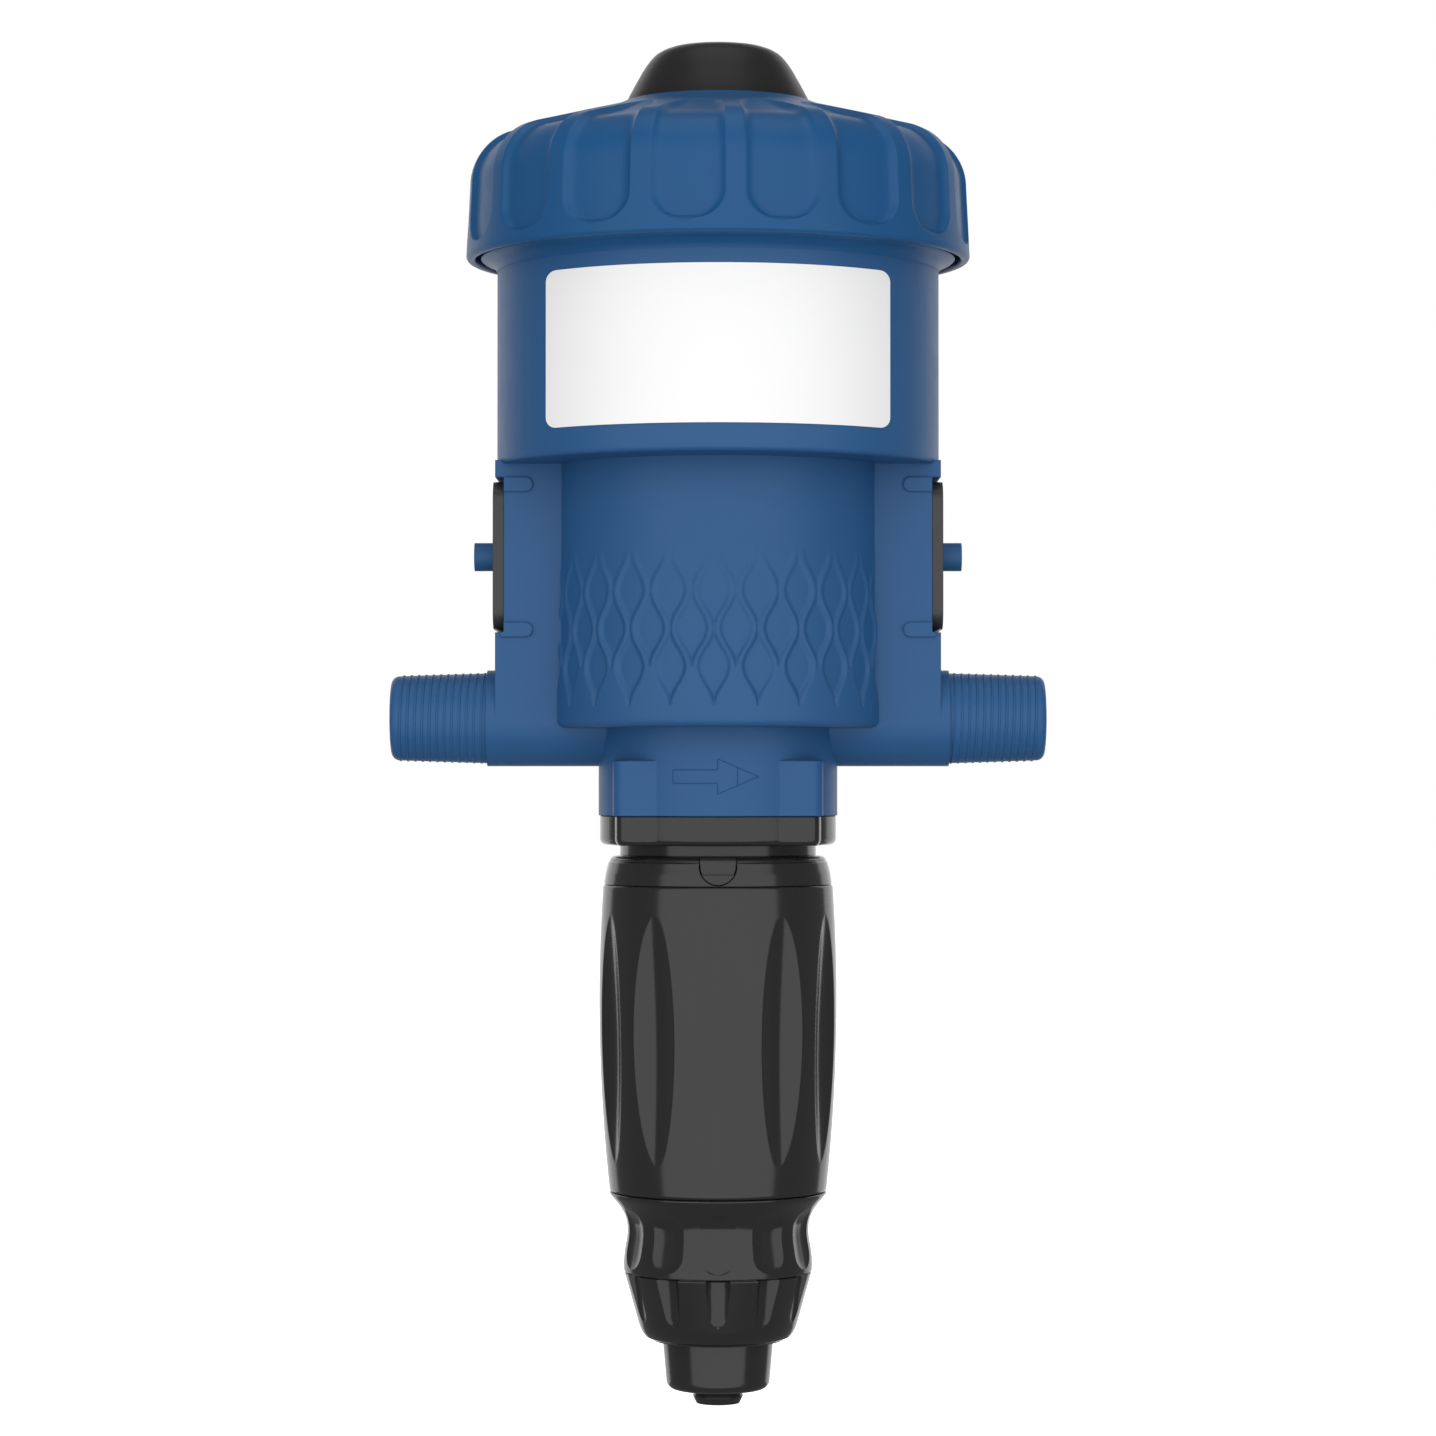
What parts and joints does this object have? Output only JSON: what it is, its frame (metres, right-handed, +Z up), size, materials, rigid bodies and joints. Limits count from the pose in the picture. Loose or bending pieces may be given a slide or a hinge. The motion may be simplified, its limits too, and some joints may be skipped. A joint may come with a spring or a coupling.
{
  "type": "non-electric dosing pump",
  "caption": "Water-driven dosing pump: piston motor drum with finger-grip cover, side ports on taper threads, ratio knob and suction valve below, and a wall bracket.",
  "frame": {"origin": "centre of the suction bore at the lower tip of the hose nipple, on the pump's vertical axis", "axes": "+Z up along the pump axis, +X towards the outlet port, -Y to the front with the label, +Y to the wall"},
  "size_m": [0.1892, 0.155, 0.3932],
  "materials": {
    "body_plastic": "satin moulded blue",
    "cover_plastic": "satin moulded blue",
    "vent_plastic": "satin black",
    "bracket_plastic": "satin black",
    "black_plastic": "gloss black",
    "label": "blank white film",
    "seal_rubber": "moulded",
    "steel": "drawn stainless",
    "ivory_plastic": "moulded natural",
    "white_plastic": "moulded white"
  },
  "bodies": {
    "housing": {"pump_body": "body_plastic", "top_cover": "cover_plastic", "cover_seal": "seal_rubber", "wall_bracket": "bracket_plastic", "label_plate": "label", "dosing_stem": "black_plastic", "stem_seal": "seal_rubber", "rod_guide": "white_plastic", "stem_collar": "black_plastic", "collar_screws": "steel", "lower_grip": "black_plastic", "valve_nut": "black_plastic", "seat_gasket": "seal_rubber", "hose_nipple": "black_plastic", "hose_nut": "black_plastic", "clamp_ring": "white_plastic"},
    "vent_valve": {"vent_button": "vent_plastic", "vent_stem": "ivory_plastic", "vent_seal": "seal_rubber", "vent_spring": "steel"},
    "motor_piston": {"piston_crown": "ivory_plastic", "piston_seal": "seal_rubber", "piston_tube": "ivory_plastic", "skirt_seal": "seal_rubber", "crown_screws": "steel", "plunger_rod": "steel", "rod_nut": "steel", "plunger": "white_plastic", "plunger_seal": "seal_rubber", "trip_spring": "steel"},
    "valve_gear": {"gear_yoke": "white_plastic", "trip_rod": "steel", "trip_legs": "steel", "inlet_valves": "seal_rubber", "outlet_valve": "seal_rubber"},
    "lock": {"lock_ring": "black_plastic", "lock_tab": "black_plastic"},
    "knob": {"ratio_knob": "black_plastic"},
    "barrel": {"dosing_barrel": "white_plastic", "drive_pins": "steel", "barrel_seal": "seal_rubber"},
    "suction_valve": {"suction_poppet": "ivory_plastic", "poppet_seal": "seal_rubber", "suction_spring": "steel"}
  },
  "joints": [
    {"name": "vent_press", "type": "slide", "parent": "housing", "child": "vent_valve", "axis": [0, 0, -1], "range_m": [0, 0.003], "stiffness_N_per_m": 400, "springref_m": -0.004, "deforming": ["vent_spring"]},
    {"name": "piston_stroke", "type": "slide", "parent": "housing", "child": "motor_piston", "axis": [0, 0, 1], "range_m": [0, 0.032]},
    {"name": "gear_trip", "type": "slide", "parent": "motor_piston", "child": "valve_gear", "axis": [0, 0, 1], "range_m": [0, 0.004], "deforming": ["trip_spring"]},
    {"name": "lock_turn", "type": "hinge", "parent": "housing", "child": "lock", "pos_m": [0, 0, 0.154], "axis": [0, 0, 1], "range_deg": [0, 60]},
    {"name": "knob_turn", "type": "hinge", "parent": "housing", "child": "knob", "pos_m": [0, 0, 0.105], "axis": [0, 0, 1], "range_deg": [0, 1080]},
    {"name": "barrel_travel", "type": "slide", "parent": "housing", "child": "barrel", "axis": [0, 0, 1], "range_m": [0, 0.018]},
    {"name": "suction_lift", "type": "slide", "parent": "housing", "child": "suction_valve", "axis": [0, 0, 1], "range_m": [0, 0.0025], "stiffness_N_per_m": 40, "springref_m": -0.004, "deforming": ["suction_spring"]}
  ],
  "couplings": [
    {"joint": "barrel_travel", "follows": "knob_turn", "m_per_rad": 0.00095493}
  ]
}
